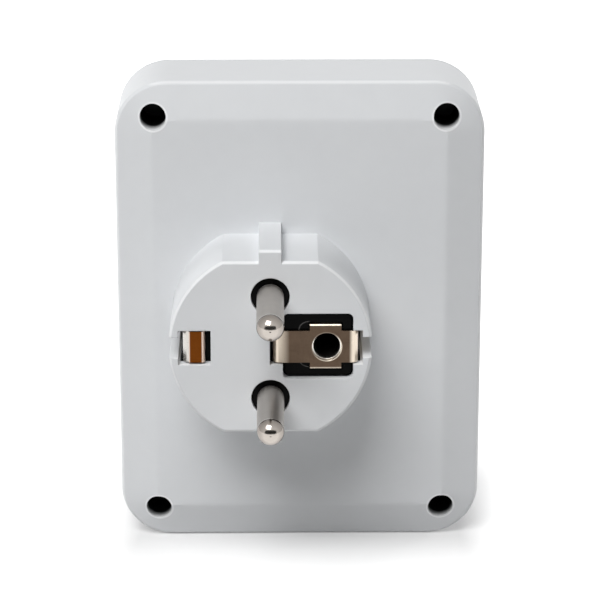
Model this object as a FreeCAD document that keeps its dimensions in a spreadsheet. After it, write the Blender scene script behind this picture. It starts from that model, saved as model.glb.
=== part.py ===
import FreeCAD
import Part
import Sketcher
import math
import os
import re

# Plug-in multi socket adapter, in millimetres.
# The origin is the middle of the plug's face, half way between its two pins. -Y points from that face
# along the pins, towards the wall; +Y points into the room; +Z is up; +X is to the right when the plug
# side is looked at.

SIZES = [
    # Plug nose
    ("nose_depth", 17.0, "plug face to the casing's flat rear face"),
    ("nose_radius", 18.1, "round part of the nose"),
    ("nose_flats", 32.0, "across the two flats of the nose"),
    ("key_width", 4.0, "guide rib on each flat"),
    ("key_reach", 18.1, "top of a guide rib from the middle"),
    ("nose_wall", 1.7, "side wall of the nose"),
    ("key_inside", 0.4, "how far the nose is hollow into a rib"),
    ("face_plate", 2.2, "thickness of the plug face"),
    ("rim_edge", 0.45, "bevel of the nose rim"),
    ("pin_pitch", 19.0, "between the two pins"),
    ("pin_radius", 2.4, "pin"),
    ("pin_reach", 19.0, "pin tip to the plug face"),
    ("neck_radius", 2.15, "pin inside the insert and the contact"),
    ("neck_play", 0.05, "around a neck"),
    ("neck_end", 9.4, "peened end of a pin"),
    ("pin_hole_radius", 3.45, "hole in the plug face"),
    ("window_left", 2.2, "left side of the window"),
    ("window_right", 14.7, "right side of the window"),
    ("window_height", 12.2, "height of the window"),
    ("window_rise", 0.25, "window's middle above the pins' middle"),
    ("window_corner", 1.0, "corner radius of the window"),
    ("slot_half", 3.2, "half height of the contact slots"),
    ("slot_start", -0.1, "left end of the strip's slot"),
    ("pocket_end", 16.4, "outer side of the contact pockets"),
    ("left_slot_end", -10.6, "right side of the left slot"),
    ("rim_slot", 3.9, "opening in the rim at each side contact"),
    ("rim_slot_depth", 15.0, "how far the rim openings run"),
    # Casing
    ("casing_width", 66.7, ""),
    ("casing_height", 87.7, ""),
    ("casing_corner", 9.5, "corner radius seen from behind"),
    ("casing_shift", 5.4, "casing's middle to the right of the plug"),
    ("band_width", 6.8, "sloped border of the rear"),
    ("band_drop", 2.3, "fall of the sloped border"),
    ("band_edge", 0.5, "bevel between border and side wall"),
    ("parting_edge", 0.2, "bevel each side of the parting line"),
    ("side_depth", 16.1, "side wall, border to parting line"),
    ("lid_height", 3.9, "front cover, parting line to front face"),
    ("front_slope", 2.4, "bevel of the front edge"),
    ("front_edge", 0.7, "small bevels on both sides of it"),
    ("wall", 2.0, "casing wall"),
    ("lip_depth", 2.5, "front cover's lip inside the rear shell"),
    ("lip_wall", 1.0, ""),
    ("seat_gap", 0.15, "between parts that slip into each other"),
    # Casing screws
    ("screw_inset_x", 7.0, "screw to the side of the casing"),
    ("screw_inset_z", 6.2, "screw to the top or bottom of the casing"),
    ("well_radius", 2.35, "screw well, seen from behind"),
    ("well_floor", 28.0, "seat of a screw head"),
    ("well_wall", 1.05, ""),
    ("tower_corner", 1.0, "cut corners of the screw towers, which run into the wall"),
    ("tower_end", 30.0, "end of a screw tower"),
    ("screw_radius", 1.3, ""),
    ("screw_play", 0.15, "around a screw in its clearance hole"),
    ("thread_play", 0.03, "around a screw in its boss"),
    ("boss_floor", 1.0, "what a boss's hole leaves of the lid's depth"),
    ("screw_head", 2.1, "radius of a casing screw's head"),
    ("screw_head_height", 1.7, ""),
    ("screw_bite", 5.5, "length in the front cover's boss"),
    ("boss_half", 3.0, ""),
    ("boss_corner", 2.0, "cut corners of the bosses, which stand clear of it"),
    # Round socket
    ("recess_radius", 19.5, ""),
    ("recess_depth", 17.5, "rim to recess floor"),
    ("recess_flats", 33.0, "across the flats in the recess"),
    ("groove_width", 5.0, "groove for the plug's guide rib"),
    ("groove_reach", 19.0, ""),
    ("round_floor", 30.0, "recess floor from the plug face"),
    ("collar_wall", 1.8, ""),
    ("collar_edge", 0.6, ""),
    ("round_hole_radius", 3.0, ""),
    ("floor_plate", 2.0, "thickness of the round recess floor"),
    ("floor_step", 1.0, "how far the collar runs past that floor's underside"),
    ("foot_x", 12.6, "feet under the round floor"),
    ("foot_z", 11.0, ""),
    ("foot_half", 1.3, ""),
    ("clip_slot_half", 3.4, "half height of the earth spring slots"),
    ("clip_slot_start", 17.0, "earth spring slots from the socket's middle"),
    ("clip_slot_end", 20.4, ""),
    ("clip_slot_top", 2.0, "rim left above the earth spring slots"),
    # Flat sockets
    ("flat_x", 27.7, "middle line of the flat sockets"),
    ("flat_z", 19.2, "middle of a flat socket from the plug's middle"),
    ("flat_width", 14.0, ""),
    ("flat_length", 36.0, ""),
    ("flat_corner", 4.0, "cut corners of the flat recess"),
    ("flat_floor", 39.4, "flat recess floor from the plug face"),
    ("flat_depth", 7.0, "rim to flat recess floor"),
    ("flat_wall", 1.3, ""),
    ("flat_hole_radius", 2.4, ""),
    # Shutters
    ("shutter_thick", 2.4, ""),
    ("shutter_gap", 0.3, "above and below a shutter"),
    ("post_radius", 1.5, "pivot post of the round shutter"),
    ("post_play", 0.05, "radial play on the post"),
    ("post_step", 0.1, "how far the post stands past the shutter"),
    ("stop_z", 9.8, "middle of the round shutter's stop"),
    ("stop_width", 1.2, "half width of the stop"),
    ("stop_height", 0.6, ""),
    ("hub_radius", 3.2, ""),
    ("arm_half", 2.5, "arms from the hub to the wings"),
    ("arm_bite", 1.0, "overlap of an arm with its wing"),
    ("wing_inner", 5.6, "wing of the round shutter"),
    ("wing_outer", 13.3, ""),
    ("wing_angle", 22.0, "half angle of a wing in degrees"),
    ("lug_reach", 8.6, ""),
    ("lug_half", 1.0, ""),
    ("flat_travel", 5.5, "travel of a flat shutter"),
    ("flat_overlap", 0.4, "flat shutter past the holes' edges"),
    ("ramp_start", 1.3, "level strip before a slope"),
    ("flat_left", 3.5, "shutter's sides from the sockets' middle line"),
    ("flat_right", 5.45, ""),
    ("flat_window", 2.5, "half width of its window"),
    ("shutter_ramp", 1.8, "fall of the slopes that the pins push"),
    ("rail", 0.9, "guide rails of the flat shutters"),
    ("rail_lip", 1.0, ""),
    ("lip_height", 0.6, "thickness of a rail's lip"),
    ("flange_height", 1.0, "flanges that hold a flat floor under the lid"),
    ("flange_right", 7.5, "flanges from the sockets' middle line"),
    ("flange_left", 8.4, ""),
    ("flange_start", 8.0, "right flange from the plug's middle"),
    ("left_flange_start", 20.0, ""),
    ("left_flange_end", 30.0, ""),
    ("rail_start", 1.35, "rails from the plug's middle"),
    ("rail_end", 31.6, ""),
    ("spring_line", 4.0, "flat springs from the sockets' middle line"),
    ("spring_room", 1.0, "half width of the spring's channel"),
    ("spring_radius", 0.7, ""),
    ("round_spring_radius", 0.9, ""),
    ("peg_inner", 3.0, "peg's seat for the spring, inward of the socket's middle"),
    ("peg_length", 1.3, ""),
    ("peg_sink", 0.2, "peg's end above the shutter's underside"),
    ("channel_end", 8.0, "end of the spring's channel"),
    ("round_spring_x", 7.5, ""),
    ("round_spring_end", 9.0, ""),
    # Metal parts
    ("strip_half", 2.98, "half width of the earth strip"),
    ("strip_sink", 0.5, "strip below the plug face"),
    ("strip_bend", 1.2, "outer radius of its bends"),
    ("strip_left", 0.4, "left end of the strip"),
    ("strip_right", 15.6, "right side contact"),
    ("contact_reach", 14.0, "end of the side contacts"),
    ("strip_foot", 5.0, "foot of the strip on the socket bracket"),
    ("wing_centre", 9.8, "middle of the strip's wings"),
    ("wing_width", 5.6, ""),
    ("wing_height", 8.5, ""),
    ("wing_lip", 0.5, "bent edge of a wing"),
    ("earth_x", 10.0, "earth pin hole from the plug's middle"),
    ("earth_hole_radius", 2.6, "hole in the strip"),
    ("sleeve_radius", 2.42, "inside of the sleeve"),
    ("sleeve_wall", 0.38, ""),
    ("sleeve_start", 1.2, ""),
    ("sleeve_end", 15.2, ""),
    ("sleeve_slit", 0.6, ""),
    ("link_left", 14.5, "copper link, from the plug's middle to the left"),
    ("link_right", 11.6, ""),
    ("link_foot", 6.0, ""),
    ("link_thick", 0.5, ""),
    ("link_half", 2.9, ""),
    ("link_bend", 0.7, "outer radius of its bends"),
    ("clip_end", 12.4, "inner end of the left side contact"),
    ("foot_level", 24.2, "earth feet meet the socket bracket"),
    ("bracket_reach", 20.15, "outside of the bracket's arms"),
    ("bracket_half", 3.0, ""),
    ("bracket_end", 43.8, ""),
    ("spring_knee", 33.0, "where an arm starts to lean in"),
    ("spring_peak", 38.5, "where an arm touches a plug"),
    ("spring_lean", 2.35, ""),
    ("spring_tip", 0.3, "how far an arm's end stays in"),
    ("busbar_low", 20.6, ""),
    ("busbar", 0.8, "thickness of the busbars"),
    ("bar_width", 3.3, ""),
    ("bar_offset", 3.7, "busbar from the sockets' middle line"),
    ("bar_end", 31.0, ""),
    ("bar_start", 12.0, ""),
    ("branch_low", 17.0, ""),
    ("branch_high", 20.0, ""),
    ("branch_tab", 13.7, ""),
    ("tab_half", 2.0, "half width of the tabs that are staked together"),
    ("tab_reach", 2.0, "stake to the end of a round contact's tab"),
    ("sheet_metal", 0.6, "thickness of the contacts"),
    ("round_contact_half", 3.1, ""),
    ("round_contact_depth", 4.0, ""),
    ("round_contact_end", 24.4, ""),
    ("round_foot", 8.0, ""),
    ("flat_contact_half", 2.7, ""),
    ("flat_contact_open", 3.3, ""),
    ("flat_contact_end", 33.5, ""),
    # Square stakes, peened or melted over the sheet or plate that they hold
    ("metal_stake", 0.8, "half width of a stake on a sheet"),
    ("metal_head", 1.1, "half width of its head"),
    ("metal_cap", 0.3, "height of its head"),
    ("metal_play", 0.05, "around it"),
    ("bridge_stake", 3.2, "stake of the earth strip's foot"),
    ("link_stake", 8.8, "stake of the copper link's foot"),
    ("plastic_stake", 1.0, "half width of a moulded stake"),
    ("plastic_head", 1.6, "half width of its head"),
    ("plastic_cap", 0.6, "height of its head"),
    # Insert and carrier
    ("insert_back", 8.0, "rear face of the insert"),
    ("boss_sink", 1.1, "insert below the plug face in the window"),
    ("boss_gap", 0.35, "around the insert in the window"),
    ("collar_sink", 0.5, "pin collar below the plug face"),
    ("collar_radius", 3.3, ""),
    ("insert_stake_x", -8.5, ""),
    ("insert_stake_z", 7.5, ""),
    ("sleeve_play", 0.05, "around the sleeve"),
    ("sleeve_boss", 4.2, "half width of the insert's boss round the sleeve"),
    ("sleeve_boss_end", 16.0, ""),
    ("leg_play", 0.2, "around the strip's bent edges and left leg"),
    ("overlap", 0.1, "joined forms run into each other"),
    ("carrier_low", 22.6, ""),
    ("carrier_high", 25.0, ""),
    ("carrier_left", 21.0, "carrier plate from the plug's middle"),
    ("carrier_right", 36.0, ""),
    ("carrier_half", 33.0, ""),
    ("carrier_play", 0.3, "around the contacts in the carrier"),
    ("carrier_post", 2.4, "half width of the lid's posts for the carrier"),
    ("left_post_x", -17.0, "those posts from the plug's middle"),
    ("left_post_z", 27.0, ""),
    ("right_post_x", 12.0, ""),
    ("right_post_z", 29.0, ""),
]
NAMES = {name for name, value, note in SIZES}

# Levels along Y and places that follow from the sizes
FLAT_REAR = "nose_depth"
BAND_END = "(nose_depth + band_drop)"
REAR_INSIDE = "(nose_depth + wall)"
PARTING = "(nose_depth + band_drop + side_depth)"
FRONT = "(nose_depth + band_drop + side_depth + lid_height)"
LID_INSIDE = "(nose_depth + band_drop + side_depth + lid_height - wall)"
ROUND_RIM = "(round_floor + recess_depth)"
FLAT_RIM = "(flat_floor + flat_depth)"
PIN_Z = "(pin_pitch / 2)"
SCREW_X = "(casing_width / 2 - screw_inset_x)"
SCREW_Z = "(casing_height / 2 - screw_inset_z)"
FLOOR_UNDER = "(round_floor - floor_plate)"
SHUTTER_HIGH = "(round_floor - floor_plate - shutter_gap)"
SHUTTER_LOW = "(round_floor - floor_plate - shutter_gap - shutter_thick)"
FLAT_SHUTTER_HIGH = f"({LID_INSIDE} - shutter_gap)"
FLAT_SHUTTER_LOW = f"({LID_INSIDE} - shutter_gap - shutter_thick)"
BAR_TOP = "(busbar_low + busbar)"
NOSE_INSIDE = "(nose_flats / 2 - nose_wall)"
FOOT_TOP = "(foot_level + sheet_metal)"
TAB_TOP = "(busbar_low + busbar + sheet_metal)"
ROUND_STAKE = "(pin_pitch / 2 + round_foot - tab_reach)"
CARRIER_POSTS = [("left_post_x", "left_post_z"), ("left_post_x", "-left_post_z"),
                 ("right_post_x", "right_post_z"), ("right_post_x", "-right_post_z")]
INSERT_STAKES = [("insert_stake_x", f"{rise} * insert_stake_z") for rise in (1, -1)]

doc = FreeCAD.newDocument("adapter")
sheet = doc.addObject("Spreadsheet::Sheet", "Sizes")
for row, (name, value, note) in enumerate(SIZES, start=1):
    sheet.set(f"A{row}", name)
    sheet.set(f"B{row}", str(value))
    sheet.set(f"C{row}", note)
    sheet.setAlias(f"B{row}", name)
doc.recompute()
parts = {}


def bound(text):
    """The same expression with each size's name as a cell of the sheet."""
    return re.sub(r"[a-z_]+", lambda word: "Sizes." + word[0] if word[0] in NAMES else word[0], str(text))


def amount(text):
    """The expression's value now."""
    return float(sheet.evalExpression(bound(text)))


def measure(sketch, kind, size, *where):
    """Add a dimension to a sketch and tie it to the sheet."""
    number = sketch.addConstraint(Sketcher.Constraint(kind, *where, amount(size)))
    sketch.renameConstraint(number, f"size_{number}")
    sketch.setExpression(f".Constraints.size_{number}", bound(size))


def pin_down(sketch, item, end, across, up):
    """Place one point of a sketch from its origin."""
    measure(sketch, "DistanceX", across, -1, 1, item, end)
    measure(sketch, "DistanceY", up, -1, 1, item, end)


def vector(across, up):
    return FreeCAD.Vector(amount(across), amount(up), 0)


def circle(across, up, radius):
    def draw(sketch):
        shape = Part.Circle(vector(across, up), FreeCAD.Vector(0, 0, 1), amount(radius))
        item = sketch.addGeometry(shape)
        measure(sketch, "Radius", radius, item)
        pin_down(sketch, item, 3, across, up)
    return draw


def polygon(*points):
    def draw(sketch):
        count = len(points)
        items = []
        for start, end in zip(points, points[1:] + points[:1]):
            items.append(sketch.addGeometry(Part.LineSegment(vector(*start), vector(*end))))
        for place, (across, up) in enumerate(points):
            sketch.addConstraint(Sketcher.Constraint("Coincident", items[place - 1], 2, items[place], 1))
            pin_down(sketch, items[place % count], 1, across, up)
    return draw


def box(left, right, low, high):
    return polygon((left, low), (right, low), (right, high), (left, high))


def block(across, up, half_width, half_height):
    return box(f"{across} - ({half_width})", f"{across} + ({half_width})",
               f"{up} - ({half_height})", f"{up} + ({half_height})")


def rounded(across, up, width, height, radius):
    """A rectangle with round corners: four arcs with their centres placed, joined by tangent lines."""
    def draw(sketch):
        arcs = []
        signs = [(1, 1), (-1, 1), (-1, -1), (1, -1)]
        size = amount(radius)
        for place, (side, rise) in enumerate(signs):
            centre = (f"{across} + {side} * (({width}) / 2 - ({radius}))",
                      f"{up} + {rise} * (({height}) / 2 - ({radius}))")
            round_line = Part.Circle(vector(*centre), FreeCAD.Vector(0, 0, 1), size)
            start = place * math.pi / 2
            item = sketch.addGeometry(Part.ArcOfCircle(round_line, start, start + math.pi / 2))
            measure(sketch, "Radius", radius, item)
            pin_down(sketch, item, 3, *centre)
            arcs.append(item)
        for first, second in zip(arcs, arcs[1:] + arcs[:1]):
            ends = [sketch.getPoint(first, 2), sketch.getPoint(second, 1)]
            line = sketch.addGeometry(Part.LineSegment(*ends))
            sketch.addConstraint(Sketcher.Constraint("Tangent", first, 2, line, 1))
            sketch.addConstraint(Sketcher.Constraint("Tangent", line, 2, second, 1))
    return draw


def keyed(radius, half_flat, half_key, reach):
    """The outline of the plug nose and its recess: a circle with two flats and a key on each flat."""
    def draw(sketch):
        chord = math.sqrt(amount(radius) ** 2 - amount(half_flat) ** 2)
        angle = math.atan2(amount(half_flat), chord)
        round_line = Part.Circle(FreeCAD.Vector(0, 0, 0), FreeCAD.Vector(0, 0, 1), amount(radius))
        right = sketch.addGeometry(Part.ArcOfCircle(round_line, -angle, angle))
        left = sketch.addGeometry(Part.ArcOfCircle(round_line, math.pi - angle, math.pi + angle))
        for arc in (right, left):
            sketch.addConstraint(Sketcher.Constraint("Coincident", arc, 3, -1, 1))
            measure(sketch, "Radius", radius, arc)
        for arc, other, rise in ((right, left, 1), (left, right, -1)):
            flat = f"{rise} * ({half_flat})"
            top = f"{rise} * ({reach})"
            inner = f"{rise} * ({half_key})"
            outer = f"-{rise} * ({half_key})"
            corners = [(inner, flat), (inner, top), (outer, top), (outer, flat)]
            points = [sketch.getPoint(arc, 2)] + [vector(*corner) for corner in corners]
            points.append(sketch.getPoint(other, 1))
            lines = [sketch.addGeometry(Part.LineSegment(*pair)) for pair in zip(points, points[1:])]
            sketch.addConstraint(Sketcher.Constraint("Coincident", arc, 2, lines[0], 1))
            for place, corner in enumerate(corners):
                sketch.addConstraint(Sketcher.Constraint("Coincident", lines[place], 2, lines[place + 1], 1))
                pin_down(sketch, lines[place + 1], 1, *corner)
            sketch.addConstraint(Sketcher.Constraint("Coincident", lines[-1], 2, other, 1))
            measure(sketch, "DistanceY", flat, -1, 1, lines[0], 1)
            measure(sketch, "DistanceY", flat, -1, 1, lines[-1], 2)
    return draw


def cut_cornered(across, up, width, length, corner):
    """The flat socket's outline: a rectangle with its corners cut at 45 degrees."""
    half_width = f"({width}) / 2"
    half_length = f"({length}) / 2"
    points = []
    for side, rise, first in ((1, 1, False), (-1, 1, True), (-1, -1, False), (1, -1, True)):
        near_side = (f"{across} + {side} * ({half_width})", f"{up} + {rise} * ({half_length} - ({corner}))")
        near_end = (f"{across} + {side} * ({half_width} - ({corner}))", f"{up} + {rise} * ({half_length})")
        points += [near_end, near_side] if first else [near_side, near_end]
    return polygon(*points)


class Piece:
    """A body that grows by features whose sketches lie across one axis, from a low to a high level."""

    NORMALS = {"XZ_Plane": -1, "XY_Plane": 1, "YZ_Plane": 1}

    def __init__(self, label):
        self.body = doc.addObject("PartDesign::Body", label)
        self.body.Label = label
        self.count = 0
        parts[label] = self.body

    def sketch(self, plane, level, outlines):
        self.count += 1
        sketch = self.body.newObject("Sketcher::SketchObject", f"{self.body.Label}_sketch_{self.count}")
        support = [item for item in self.body.Origin.OriginFeatures if item.Role == plane][0]
        sketch.AttachmentSupport = [(support, "")]
        sketch.MapMode = "FlatFace"
        sketch.setExpression(".AttachmentOffset.Base.z", bound(f"{self.NORMALS[plane]} * ({level})"))
        for draw in outlines:
            draw(sketch)
        return sketch

    def feature(self, kind, sketch):
        feature = self.body.newObject(f"PartDesign::{kind}", f"{self.body.Label}_{kind}_{self.count}")
        feature.Profile = sketch
        return feature

    def add(self, low, high, *outlines, plane="XZ_Plane"):
        pad = self.feature("Pad", self.sketch(plane, low, outlines))
        pad.setExpression("Length", bound(f"({high}) - ({low})"))
        pad.Reversed = self.NORMALS[plane] < 0
        return self

    def cut(self, low, high, *outlines, plane="XZ_Plane"):
        pocket = self.feature("Pocket", self.sketch(plane, low, outlines))
        pocket.setExpression("Length", bound(f"({high}) - ({low})"))
        pocket.Reversed = self.NORMALS[plane] > 0
        return self

    def loft(self, kind, first, second):
        """Join two outlines, each given with its level, by straight faces."""
        sketches = [self.sketch("XZ_Plane", level, [outline]) for level, outline in (first, second)]
        loft = self.feature(kind, sketches[0])
        loft.Sections = [sketches[1]]
        loft.Ruled = True
        return self

    def turn(self, outline):
        """Revolve a profile about the Y axis of the body."""
        sketch = self.sketch("XY_Plane", "0", [outline])
        turned = self.feature("Revolution", sketch)
        turned.ReferenceAxis = (sketch, ["V_Axis"])
        turned.Angle = 360
        return self

    def edges(self, points):
        """The edge nearest to each point, on the shape as it is so far."""
        doc.recompute()
        names = []
        for point in points:
            spot = Part.Vertex(*[amount(value) for value in point])
            gaps = [edge.distToShape(spot)[0] for edge in self.body.Tip.Shape.Edges]
            names.append(f"Edge{gaps.index(min(gaps)) + 1}")
        return names

    def dress(self, kind, size, *points):
        """Fillet or chamfer the edges nearest to the points."""
        names = self.edges(points)
        self.count += 1
        dress = self.body.newObject(f"PartDesign::{kind}", f"{self.body.Label}_{kind}_{self.count}")
        dress.Base = (dress.BaseFeature, names)
        dress.setExpression("Radius" if kind == "Fillet" else "Size", bound(size))
        return self

    def place(self, across, along, up):
        for axis, value in zip("xyz", (across, along, up)):
            self.body.setExpression(f".Placement.Base.{axis}", bound(value))
        return self


def rod(name, across, up, radius, low, high):
    """A cylinder along Y."""
    cylinder = doc.addObject("Part::Cylinder", name)
    cylinder.setExpression("Radius", bound(radius))
    cylinder.setExpression("Height", bound(f"({high}) - ({low})"))
    cylinder.Placement.Rotation = FreeCAD.Rotation(FreeCAD.Vector(1, 0, 0), -90)
    for axis, value in zip("xyz", (across, low, up)):
        cylinder.setExpression(f".Placement.Base.{axis}", bound(value))
    return cylinder


def fuse(name, pieces):
    joined = doc.addObject("Part::MultiFuse", name)
    joined.Shapes = pieces
    return joined


def group(label, members):
    """Identical fasteners share one node, as separate solids."""
    compound = doc.addObject("Part::Compound", label)
    compound.Label = label
    compound.Links = members
    parts[label] = compound


def squares(places, half):
    return [block(across, up, half, half) for across, up in places]


def casing_outline(inset):
    return rounded("casing_shift", "0", f"casing_width - 2 * ({inset})", f"casing_height - 2 * ({inset})",
                   f"casing_corner - ({inset})")


def casing_screw_places():
    return [(f"(casing_shift + {side} * {SCREW_X})", f"({rise} * {SCREW_Z})") for side in (-1, 1)
            for rise in (-1, 1)]


def at_screws(radius):
    """One circle at each casing screw."""
    return [circle(across, up, radius) for across, up in casing_screw_places()]


def towers(half, corner):
    """A square with cut corners at each casing screw."""
    return [cut_cornered(across, up, f"2 * ({half})", f"2 * ({half})", corner)
            for across, up in casing_screw_places()]


def rear_shell():
    shell = Piece("rear_shell")
    shell.add(BAND_END, PARTING, casing_outline("0"))
    shell.loft("AdditiveLoft", (BAND_END, casing_outline("0")), (FLAT_REAR, casing_outline("band_width")))
    top = "(casing_height / 2)"
    shell.dress("Chamfer", "band_edge", ("casing_shift", BAND_END, top))
    shell.dress("Chamfer", "parting_edge", ("casing_shift", PARTING, top))
    nose = keyed("nose_radius", "nose_flats / 2", "key_width / 2", "key_reach")
    shell.add("0", BAND_END, nose)
    side = "nose_flats / 2"
    shell.dress("Chamfer", "rim_edge",
                ("nose_radius", "0", "0"), ("-nose_radius", "0", "0"), ("0", "0", "key_reach"),
                ("0", "0", "-key_reach"), ("4", "0", side), ("-4", "0", side), ("4", "0", f"-{side}"),
                ("-4", "0", f"-{side}"))
    # Inside of the casing, following the sloped border, then the inside of the nose
    deep = f"({BAND_END} + wall)"
    shell.cut(deep, PARTING, casing_outline("wall"))
    shell.loft("SubtractiveLoft", (deep, casing_outline("wall")),
               (REAR_INSIDE, casing_outline("band_width + wall / 3")))
    shell.cut("face_plate", deep, keyed("nose_radius - nose_wall", NOSE_INSIDE, "key_width / 2",
                                        f"{NOSE_INSIDE} + key_inside"))
    # Screw towers with a well for the head and a clearance hole
    shell.add(REAR_INSIDE, "tower_end", *towers("well_radius + well_wall", "tower_corner"))
    shell.cut("0", "well_floor", *at_screws("well_radius"))
    shell.cut("well_floor", "tower_end", *at_screws("screw_radius + screw_play"))
    # Plug face: pin holes, window, contact slots and the openings in the rim
    plate = "face_plate"
    shell.cut("0", plate, *[circle("0", f"{rise} * {PIN_Z}", "pin_hole_radius") for rise in (1, -1)])
    shell.cut("0", plate, rounded("(window_left + window_right) / 2", "window_rise",
                                  "window_right - window_left", "window_height", "window_corner"))
    shell.cut("0", plate, box("slot_start", "window_left + window_corner", "-slot_half", "slot_half"))
    shell.cut("0", REAR_INSIDE, box("window_right - window_corner", "pocket_end", "-slot_half", "slot_half"))
    shell.cut("0", plate, box("-pocket_end", "left_slot_end", "-slot_half", "slot_half"))
    shell.cut(plate, REAR_INSIDE, box("-pocket_end", "strip_bend - strip_right", "-slot_half", "slot_half"))
    for low, high in (("pocket_end - 1", "nose_radius + 1"), ("-nose_radius - 1", "1 - pocket_end")):
        shell.cut("0", "rim_slot_depth", box(low, high, "-rim_slot / 2", "rim_slot / 2"))
    # Stakes that hold the insert
    shell.add(plate, "insert_back + plastic_cap", *squares(INSERT_STAKES, "plastic_stake"))
    shell.add("insert_back", "insert_back + plastic_cap", *squares(INSERT_STAKES, "plastic_head"))


def front_cover():
    cover = Piece("front_cover")
    cover.add(PARTING, FRONT, casing_outline("0"))
    top = "(casing_height / 2)"
    cover.dress("Chamfer", "front_slope", ("casing_shift", FRONT, top))
    cover.dress("Chamfer", "front_edge", ("casing_shift", FRONT, f"{top} - front_slope"),
                ("casing_shift", f"{FRONT} - front_slope", top))
    cover.dress("Chamfer", "parting_edge", ("casing_shift", PARTING, top))
    # Collar of the round socket and the raised frame of the flat ones
    collar = circle("0", "0", "recess_radius + collar_wall")
    outer = cut_cornered("flat_x", "0", "flat_width + 2 * flat_wall",
                         "2 * flat_z + flat_length + 2 * flat_wall", "flat_corner")
    cover.add(PARTING, ROUND_RIM, collar)
    cover.dress("Chamfer", "collar_edge", ("-recess_radius - collar_wall", ROUND_RIM, "0"))
    cover.add(PARTING, FLAT_RIM, outer)
    # Hollow lid with a lip that slips into the rear shell
    inside = casing_outline("wall")
    cover.cut(PARTING, LID_INSIDE, inside)
    lip_outside = "wall + seat_gap"
    cover.add(f"{PARTING} - lip_depth", LID_INSIDE, casing_outline(lip_outside),
              casing_outline(f"{lip_outside} + lip_wall"))
    bottom = f"({FLOOR_UNDER} + floor_step)"
    cover.add(bottom, LID_INSIDE, collar)
    # Bosses with square cores that the casing screws bite into; posts that end in stakes for the carrier
    cover.add("tower_end + seat_gap", f"{LID_INSIDE} + overlap", *towers("boss_half", "boss_corner"))
    cover.cut("tower_end + seat_gap", f"{LID_INSIDE} - boss_floor",
              *squares(casing_screw_places(), "screw_radius + thread_play"))
    cover.add("carrier_high", f"{LID_INSIDE} + overlap", *squares(CARRIER_POSTS, "carrier_post"))
    cover.add("carrier_low - plastic_cap", "carrier_high", *squares(CARRIER_POSTS, "plastic_stake"))
    cover.add("carrier_low - plastic_cap", "carrier_low", *squares(CARRIER_POSTS, "plastic_head"))
    # Recesses, open right through; the floors close them from behind
    cover.cut(bottom, "round_floor", circle("0", "0", "recess_radius"))
    cover.cut("round_floor", ROUND_RIM, keyed("recess_radius", "recess_flats / 2", "groove_width / 2",
                                              "groove_reach"))
    for rise in (1, -1):
        cover.cut(LID_INSIDE, FLAT_RIM, cut_cornered("flat_x", f"{rise} * flat_z", "flat_width",
                                                     "flat_length", "flat_corner"))
    for side in (1, -1):
        ends = sorted((f"{side} * clip_slot_start", f"{side} * clip_slot_end"), key=amount)
        cover.cut(bottom, f"{ROUND_RIM} - clip_slot_top", box(*ends, "-clip_slot_half", "clip_slot_half"))


def round_socket_floor():
    """A disc under the recess's two ledges, with four feet on the contact carrier."""
    floor = Piece("round_socket_floor")
    floor.add(FLOOR_UNDER, "round_floor", circle("0", "0", "recess_radius - seat_gap"))
    feet = [(f"{side} * foot_x", f"{rise} * foot_z") for side in (1, -1) for rise in (1, -1)]
    floor.add("carrier_high", FLOOR_UNDER, *squares(feet, "foot_half"))
    floor.cut(FLOOR_UNDER, "round_floor", *[circle("0", f"{rise} * {PIN_Z}", "round_hole_radius")
                                            for rise in (1, -1)])
    floor.add(f"{SHUTTER_LOW} - post_step", FLOOR_UNDER, circle("0", "0", "post_radius"))
    floor.add(SHUTTER_LOW, FLOOR_UNDER, block("-lug_reach + lug_half", "stop_z", "stop_width", "stop_height"))


def sector(inner, outer, angle, rise):
    """Part of a ring about the origin, either side of the +Z or -Z direction."""
    def draw(sketch):
        middle = rise * math.pi / 2
        half = math.radians(amount(angle))
        arcs = []
        for radius in (inner, outer):
            round_line = Part.Circle(FreeCAD.Vector(0, 0, 0), FreeCAD.Vector(0, 0, 1), amount(radius))
            item = sketch.addGeometry(Part.ArcOfCircle(round_line, middle - half, middle + half))
            sketch.addConstraint(Sketcher.Constraint("Coincident", item, 3, -1, 1))
            measure(sketch, "Radius", radius, item)
            arcs.append(item)
        for end, side in ((1, rise), (2, -rise)):
            for item, radius in zip(arcs, (inner, outer)):
                measure(sketch, "DistanceX", f"{side} * ({radius}) * sin({angle})", -1, 1, item, end)
            line = sketch.addGeometry(Part.LineSegment(sketch.getPoint(arcs[0], end),
                                                       sketch.getPoint(arcs[1], end)))
            sketch.addConstraint(Sketcher.Constraint("Coincident", line, 1, arcs[0], end))
            sketch.addConstraint(Sketcher.Constraint("Coincident", line, 2, arcs[1], end))
    return draw


def round_shutter():
    shutter = Piece("round_shutter")
    level = (SHUTTER_LOW, SHUTTER_HIGH)
    shutter.add(*level, block("0", "0", "arm_half", "wing_inner + arm_bite"))
    shutter.add(*level, circle("0", "0", "hub_radius"))
    for rise in (1, -1):
        shutter.add(*level, sector("wing_inner", "wing_outer", "wing_angle", rise))
    shutter.add(*level, box("-lug_reach", "0", "-lug_half", "lug_half"))
    shutter.cut(*level, circle("0", "0", "post_radius + post_play"))
    spring = Piece("round_shutter_spring")
    middle = f"({SHUTTER_LOW} + {SHUTTER_HIGH}) / 2"
    spring.add("lug_half", "round_spring_end", circle("-round_spring_x", middle, "round_spring_radius"),
               plane="XY_Plane")


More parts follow.
